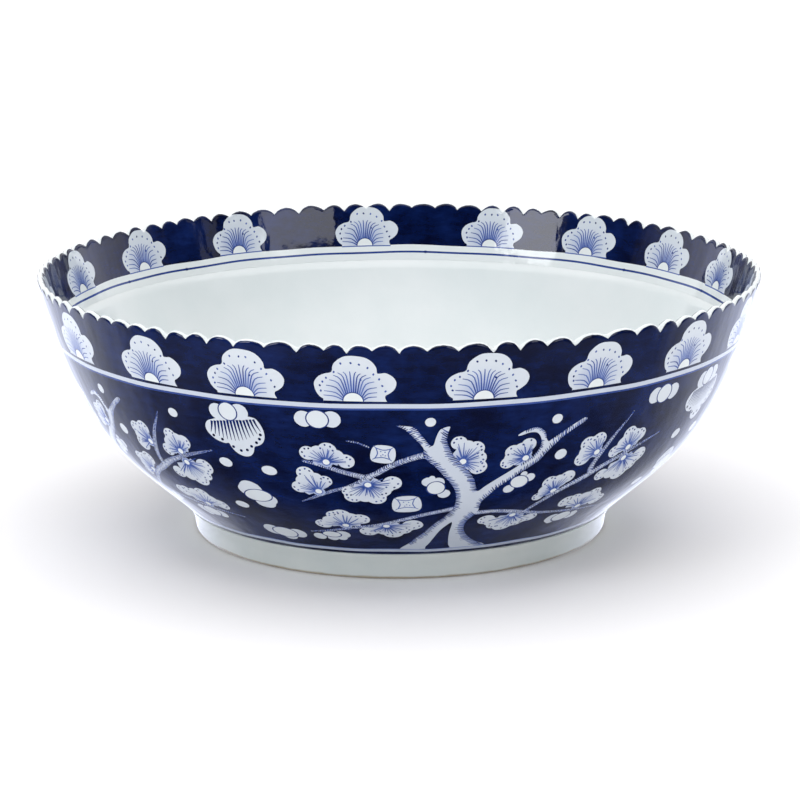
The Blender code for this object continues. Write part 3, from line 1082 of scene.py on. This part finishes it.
class Tree:
    """Short names for building a node tree."""

    def __init__(self, tree):
        self.tree = tree

    def add(self, kind, **settings):
        node = self.tree.nodes.new(kind)
        for key, value in settings.items():
            setattr(node, key, value)
        return node

    def feed(self, socket, value):
        """Link another node's output to a socket, or set the socket's own value."""
        if isinstance(value, bpy.types.NodeSocket):
            self.tree.links.new(value, socket)
        else:
            socket.default_value = value

    def math(self, operation, *values):
        node = self.add("ShaderNodeMath", operation=operation)
        for socket, value in zip(node.inputs, values):
            self.feed(socket, value)
        return node.outputs[0]

    def mix(self, factor, first, second, blend="MIX"):
        node = self.add("ShaderNodeMix", data_type="RGBA", blend_type=blend)
        self.feed(node.inputs["Factor"], factor)
        self.feed(node.inputs["A"], first)
        self.feed(node.inputs["B"], second)
        return node.outputs["Result"]

    def ramp(self, factor, stops):
        node = self.add("ShaderNodeValToRGB")
        ramp = node.color_ramp
        while len(ramp.elements) < len(stops):
            ramp.elements.new(0.5)
        for element, (position, colour) in zip(ramp.elements, stops):
            element.position = position
            element.color = colour
        self.feed(node.inputs["Fac"], factor)
        return node.outputs["Color"]

    def grey_ramp(self, factor, stops):
        return self.ramp(factor, [(position, grey(value)) for position, value in stops])

    def split(self, vector):
        node = self.add("ShaderNodeSeparateXYZ")
        self.feed(node.inputs[0], vector)
        return node.outputs


class Glazed(Tree):
    """One glazed material's node tree."""

    def __init__(self, name):
        self.material = bpy.data.materials.new(name)
        self.material.use_nodes = True
        super().__init__(self.material.node_tree)
        self.shader = self.tree.nodes["Principled BSDF"]

    def coordinates(self):
        return self.add("ShaderNodeTexCoord").outputs["Object"]

    def noise(self, scale, detail=3.0, roughness=0.5, flatten=1.0):
        """Noise in object space; flatten above 1 draws its patches out sideways."""
        mapping = self.add("ShaderNodeMapping")
        mapping.inputs["Scale"].default_value = (1.0, 1.0, flatten)
        self.feed(mapping.inputs["Vector"], self.coordinates())
        node = self.add("ShaderNodeTexNoise")
        node.inputs["Scale"].default_value = scale
        node.inputs["Detail"].default_value = detail
        node.inputs["Roughness"].default_value = roughness
        self.feed(node.inputs["Vector"], mapping.outputs["Vector"])
        return node.outputs["Fac"]

    def finish(self, colour, roughness, brushed=0.0):
        """Colour under a clear glaze, which is glossy and very slightly uneven. Brushed adds faint
        ripples that run up it."""
        shader = self.shader
        self.feed(shader.inputs["Base Color"], colour)
        shader.inputs["IOR"].default_value = 1.5
        shader.inputs["Metallic"].default_value = 0.0
        uneven = self.math("MULTIPLY_ADD", self.noise(55.0, 2.0), 0.05, roughness)
        self.feed(shader.inputs["Roughness"], uneven)
        fine = self.math("MULTIPLY", self.noise(240.0, 2.0), 0.12)
        height = self.math("ADD", self.noise(38.0, 1.0), fine)
        if brushed:
            ripples = self.noise(70.0, 2.0, flatten=0.25)
            height = self.math("ADD", height, self.math("MULTIPLY", ripples, brushed))
        bump = self.add("ShaderNodeBump")
        bump.inputs["Strength"].default_value = 0.25
        bump.inputs["Distance"].default_value = 0.0012
        self.feed(bump.inputs["Height"], height)
        self.feed(shader.inputs["Normal"], bump.outputs["Normal"])
        return self.material


def painted_porcelain():
    """Cobalt under the glaze: the ink attribute sets how deep the blue is."""
    nodes = Glazed("cobalt_painting")
    ink = nodes.add("ShaderNodeAttribute", attribute_type="GEOMETRY", attribute_name="ink").outputs["Fac"]
    broad = nodes.noise(30.0, 4.0, 0.6)
    streaks = nodes.noise(75.0, 4.0, 0.65, flatten=3.0)
    pooled = nodes.math("ADD", nodes.math("MULTIPLY", broad, 0.6), nodes.math("MULTIPLY", streaks, 0.4))
    depth = nodes.math("MULTIPLY", ink, nodes.math("ADD", nodes.math("MULTIPLY", pooled, -0.5), 1.2))
    colour = nodes.ramp(depth, [
        (0.0, PORCELAIN),
        (0.2, srgb(180, 190, 211)),
        (0.4, srgb(124, 145, 198)),
        (0.62, srgb(62, 86, 156)),
        (0.8, srgb(24, 44, 104)),
        (0.9, srgb(9, 29, 80)),
        (0.96, srgb(3, 17, 58)),
        (1.0, srgb(1, 7, 40)),
    ])
    return nodes.finish(colour, 0.035, brushed=1.1)


def glazed_white():
    """Bare porcelain under the glaze, with a faint cloudiness."""
    nodes = Glazed("glazed_white_porcelain")
    cloud = nodes.noise(16.0, 4.0, 0.55)
    return nodes.finish(nodes.ramp(cloud, [(0.3, srgb(221, 229, 229)), (0.7, srgb(231, 236, 236))]), 0.04)


def foot_glaze():
    """White glaze that stops short of the standing edge, where the bare clay is tan. Its white is greyer
    than the bowl's, as painted shade under the bowl's overhang.
    """
    nodes = Glazed("foot_ring_porcelain")
    cloud = nodes.noise(22.0, 4.0, 0.55)
    # Greyer than the bowl's glazed white: painted shade for the shadow under the overhang.
    white = nodes.ramp(cloud, [(0.3, srgb(209, 217, 215)), (0.7, srgb(222, 227, 223))])
    height = nodes.split(nodes.coordinates())["Z"]
    ragged = nodes.math("ADD", height, nodes.math("MULTIPLY", nodes.noise(90.0, 3.0), -0.0014))
    # The ramp runs over the lowest 4 mm.
    edge = nodes.grey_ramp(nodes.math("MULTIPLY", ragged, 250.0), [(0.0, 0.0), (0.08, 0.0), (0.3, 1.0)])
    return nodes.finish(nodes.mix(edge, srgb(178, 168, 148), white), 0.05)


PAINTED = painted_porcelain()
GLAZED_WHITE = glazed_white()
FOOT_GLAZE = foot_glaze()

# ---------------------------------------------------------------- the studio

ROOM_STRENGTH = 1.9
# Brightness against the direction's height and depth, from straight down to straight up and
# from the camera's side to the far side, and how much of it comes from every side.
ROOM_BY_HEIGHT = [(0.0, 0.04), (0.14, 0.14), (0.22, 0.42), (0.3, 0.76), (0.38, 0.86), (0.56, 0.8),
                  (0.66, 0.5), (0.78, 0.68), (0.9, 0.9)]
ROOM_TINT_LOW = (0.9, 0.95, 1.14, 1.0)
ROOM_TINT_HIGH = (1.0, 0.985, 0.99, 1.0)
ROOM_TINT_SHIFT = [(0.4, 0.0), (0.65, 1.0)]
ROOM_BY_DEPTH = [(0.0, 0.03), (0.5, 0.05), (0.66, 0.7), (0.85, 1.0)]
ROOM_ALL_ROUND = [(0.0, 0.4), (0.18, 0.55), (0.28, 0.0), (0.75, 0.0), (0.85, 1.0)]
FLOOR_REACH = 6.0
FLOOR_CORNERS = [(-FLOOR_REACH, -FLOOR_REACH, 0.0), (FLOOR_REACH, -FLOOR_REACH, 0.0),
                 (FLOOR_REACH, FLOOR_REACH, 0.0), (-FLOOR_REACH, FLOOR_REACH, 0.0)]
# Soft lights as name, theta, width in m and radiance. Theta is -90 in front, as on the bowl.
SOFTBOXES = [("side_left", -141.0, 0.56, 5.5), ("side_right", -51.0, 0.73, 2.8),
             ("far_right", -15.0, 0.17, 0.6)]
SOFTBOX_HEIGHT = 0.7
SOFTBOX_DISTANCE = 1.6
SOFTBOX_ELEVATION = 17.0
SOFTBOX_AIM = (0.0, 0.0, 0.08)
SOFTBOX_COLOUR = (0.97, 0.985, 1.04)


def studio():
    scene = bpy.context.scene
    scene.view_settings.view_transform = "Standard"
    floor_mesh = bpy.data.meshes.new("floor")
    floor_mesh.from_pydata(FLOOR_CORNERS, [], [(0, 1, 2, 3)])
    floor = bpy.data.objects.new("floor", floor_mesh)
    scene.collection.objects.link(floor)
    look = bpy.data.materials.new("floor_paper")
    look.use_nodes = True
    shader = look.node_tree.nodes["Principled BSDF"]
    shader.inputs["Base Color"].default_value = srgb(250, 250, 250)
    shader.inputs["Roughness"].default_value = 0.9
    shader.inputs["Specular IOR Level"].default_value = 0.0
    floor_mesh.materials.append(look)
    floor.visible_glossy = False


def studio_room():
    """A white room that is dark low down and on the camera's side, so the glaze stays clear there.
    Seen directly, it is plain white."""
    world = bpy.data.worlds.new("studio")
    bpy.context.scene.world = world
    world.use_nodes = True
    nodes = Tree(world.node_tree)
    direction = nodes.split(nodes.add("ShaderNodeTexCoord").outputs["Generated"])
    height = nodes.math("MULTIPLY_ADD", direction["Z"], 0.5, 0.5)
    depth = nodes.math("MULTIPLY_ADD", direction["Y"], 0.5, 0.5)
    all_round_light = nodes.grey_ramp(height, ROOM_ALL_ROUND)
    side = nodes.math("MAXIMUM", nodes.grey_ramp(depth, ROOM_BY_DEPTH), all_round_light)
    light = nodes.math("MULTIPLY", nodes.grey_ramp(height, ROOM_BY_HEIGHT), side)
    tint = nodes.mix(nodes.grey_ramp(height, ROOM_TINT_SHIFT), ROOM_TINT_LOW, ROOM_TINT_HIGH)
    room = world.node_tree.nodes["Background"]
    nodes.feed(room.inputs["Color"], nodes.mix(1.0, tint, light, "MULTIPLY"))
    room.inputs["Strength"].default_value = ROOM_STRENGTH
    plain = nodes.add("ShaderNodeBackground")
    plain.inputs["Color"].default_value = grey(1.0)
    seen = nodes.add("ShaderNodeMixShader")
    nodes.feed(seen.inputs["Fac"], nodes.add("ShaderNodeLightPath").outputs["Is Camera Ray"])
    nodes.feed(seen.inputs[1], room.outputs[0])
    nodes.feed(seen.inputs[2], plain.outputs[0])
    nodes.feed(world.node_tree.nodes["World Output"].inputs["Surface"], seen.outputs[0])


def softbox(name, theta, width, radiance):
    """A soft rectangular light that faces the bowl."""
    level, rise = polar(1.0, SOFTBOX_ELEVATION)
    back = Vector((*polar(level, theta), rise))
    light = bpy.data.lights.new(name, "AREA")
    light.shape = "RECTANGLE"
    light.size, light.size_y = width, SOFTBOX_HEIGHT
    light.energy = radiance * math.pi * width * SOFTBOX_HEIGHT
    light.color = SOFTBOX_COLOUR
    lamp = bpy.data.objects.new(name, light)
    lamp.location = Vector(SOFTBOX_AIM) + back * SOFTBOX_DISTANCE
    lamp.rotation_mode = "QUATERNION"
    lamp.rotation_quaternion = back.to_track_quat("Z", "Y")
    bpy.context.scene.collection.objects.link(lamp)


def camera():
    """A long lens in front of the bowl, a little above it."""
    lens = bpy.data.cameras.new("camera")
    lens.lens = 132.5
    lens.sensor_width = 36.0
    lens.shift_x, lens.shift_y = 0.0042, 0.0006
    lens.clip_start, lens.clip_end = 0.05, 50.0
    view = bpy.data.objects.new("camera", lens)
    view.location = (0.0, -1.631, 0.4738)
    view.rotation_euler = (math.radians(76.10), math.radians(0.243), 0.0)
    bpy.context.scene.collection.objects.link(view)
    bpy.context.scene.camera = view


tree_band()
outer_rim_band()
inner_rim_band()
clay_body()
foot_ring()
studio()
studio_room()
for settings in SOFTBOXES:
    softbox(*settings)
camera()
